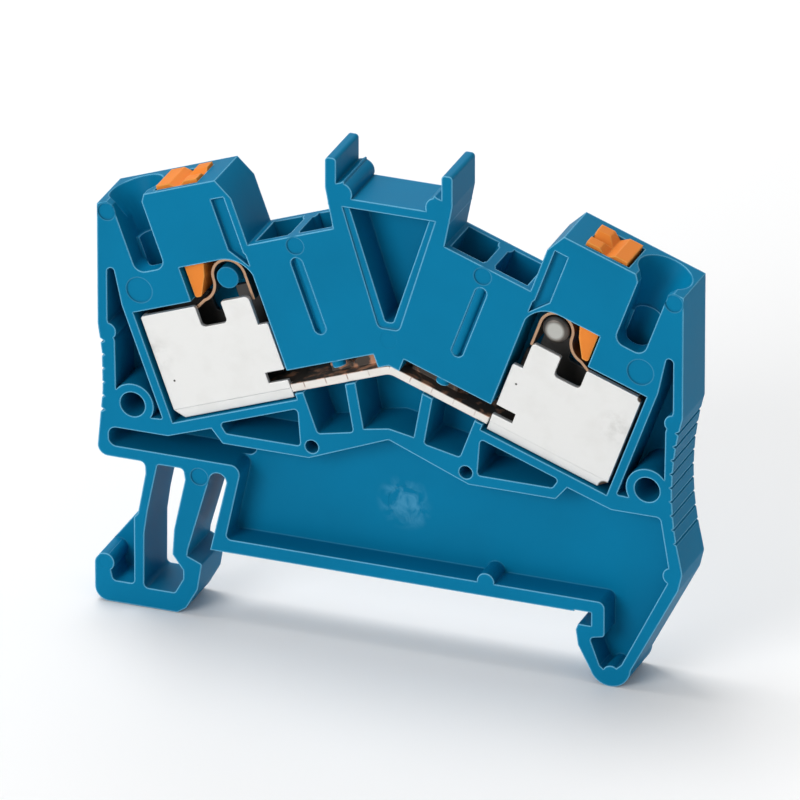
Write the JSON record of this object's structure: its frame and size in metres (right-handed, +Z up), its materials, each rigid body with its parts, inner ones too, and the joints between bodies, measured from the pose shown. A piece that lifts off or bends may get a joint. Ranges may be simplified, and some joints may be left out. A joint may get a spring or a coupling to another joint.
{
  "type": "feed-through terminal block",
  "caption": "Slim push-in terminal block, open on one side, with a bent current bar between sprung clamps, a push button above each clamp and a foot that clips on a rail.",
  "frame": {"origin": "middle of the rail seat, on the underside of the base beam, halfway through the thickness", "axes": "+X across the rail towards the fixed hook, +Y through the thickness towards the closed back wall, +Z up from the rail"},
  "size_m": [0.0516, 0.0052, 0.0436],
  "materials": {
    "housing_plastic": "satin blue polyamide",
    "button_plastic": "satin orange polyamide",
    "cage_steel": "nickel plated sheet",
    "spring_steel": "stainless strip",
    "pin_steel": "turned end",
    "tinned_bar": "matt tin on copper"
  },
  "bodies": {
    "block": {"housing": "housing_plastic", "current_bar": "tinned_bar", "left_clamp_cage": "cage_steel", "right_clamp_cage": "cage_steel", "left_clamp_spring": "spring_steel", "right_clamp_spring": "spring_steel", "right_spring_pin": "pin_steel"},
    "left_button": {"left_push_button": "button_plastic"},
    "right_button": {"right_push_button": "button_plastic"}
  },
  "joints": [
    {"name": "left_button_press", "type": "slide", "parent": "block", "child": "left_button", "axis": [0.342, 0, -0.9397], "range_m": [0, 0.0015], "stiffness_N_per_m": 2000, "springref_m": -0.001, "deforming": ["left_clamp_spring"]},
    {"name": "right_button_press", "type": "slide", "parent": "block", "child": "right_button", "axis": [-0.342, 0, -0.9397], "range_m": [0, 0.0015], "stiffness_N_per_m": 2000, "springref_m": -0.001, "deforming": ["right_clamp_spring"]}
  ]
}
